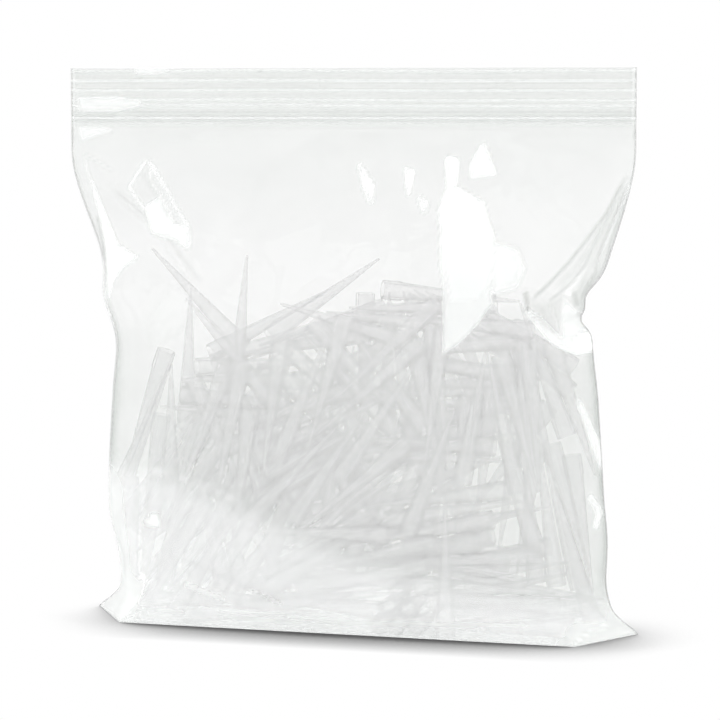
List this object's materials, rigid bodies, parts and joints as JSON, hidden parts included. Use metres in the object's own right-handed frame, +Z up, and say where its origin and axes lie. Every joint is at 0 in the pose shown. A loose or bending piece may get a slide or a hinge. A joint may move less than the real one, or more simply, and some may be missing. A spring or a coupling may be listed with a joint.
{
  "type": "bag of pipette tips",
  "caption": "Clear press-to-close bag, closed at the top, standing on its folded base and filled with a loose heap of translucent pipette tips.",
  "frame": {"origin": "middle of the base's underside, on the surface the bag stands on", "axes": "+X along the bag's width, to the right seen from the front; +Y from the front film to the back film; +Z up, towards the closed mouth"},
  "size_m": [0.2056, 0.0622, 0.1995],
  "materials": {
    "film": "clear thin film",
    "zip": "clear ribbed strip",
    "tip": "natural translucent, slightly milky"
  },
  "bodies": {
    "root": {"bag_film": "film", "zip_strip_front": "zip", "zip_strip_back": "zip", "tips_front_3_a": "tip", "tips_front_3_b": "tip", "tips_front_3_c": "tip", "tips_front_3_d": "tip", "tips_front_3_e": "tip", "tips_front_3_f": "tip", "tips_front_3_g": "tip", "tips_front_2_a": "tip", "tips_front_2_b": "tip", "tips_front_2_c": "tip", "tips_front_2_d": "tip", "tips_front_2_e": "tip", "tips_front_2_f": "tip", "tips_front_2_g": "tip", "tips_front_1_a": "tip", "tips_front_1_b": "tip", "tips_front_1_c": "tip", "tips_front_1_d": "tip", "tips_front_1_e": "tip", "tips_front_1_f": "tip", "tips_front_1_g": "tip", "tips_middle_a": "tip", "tips_middle_b": "tip", "tips_middle_c": "tip", "tips_middle_d": "tip", "tips_middle_e": "tip", "tips_middle_f": "tip", "tips_middle_g": "tip", "tips_back_1_a": "tip", "tips_back_1_b": "tip", "tips_back_1_c": "tip", "tips_back_1_d": "tip", "tips_back_1_e": "tip", "tips_back_1_f": "tip", "tips_back_1_g": "tip", "tips_back_2_a": "tip", "tips_back_2_b": "tip", "tips_back_2_c": "tip", "tips_back_2_d": "tip", "tips_back_2_e": "tip", "tips_back_2_f": "tip", "tips_back_2_g": "tip", "tips_back_3_a": "tip", "tips_back_3_b": "tip", "tips_back_3_c": "tip", "tips_back_3_d": "tip", "tips_back_3_e": "tip", "tips_back_3_f": "tip", "tips_back_3_g": "tip", "tips_crosswise": "tip"}
  },
  "joints": []
}
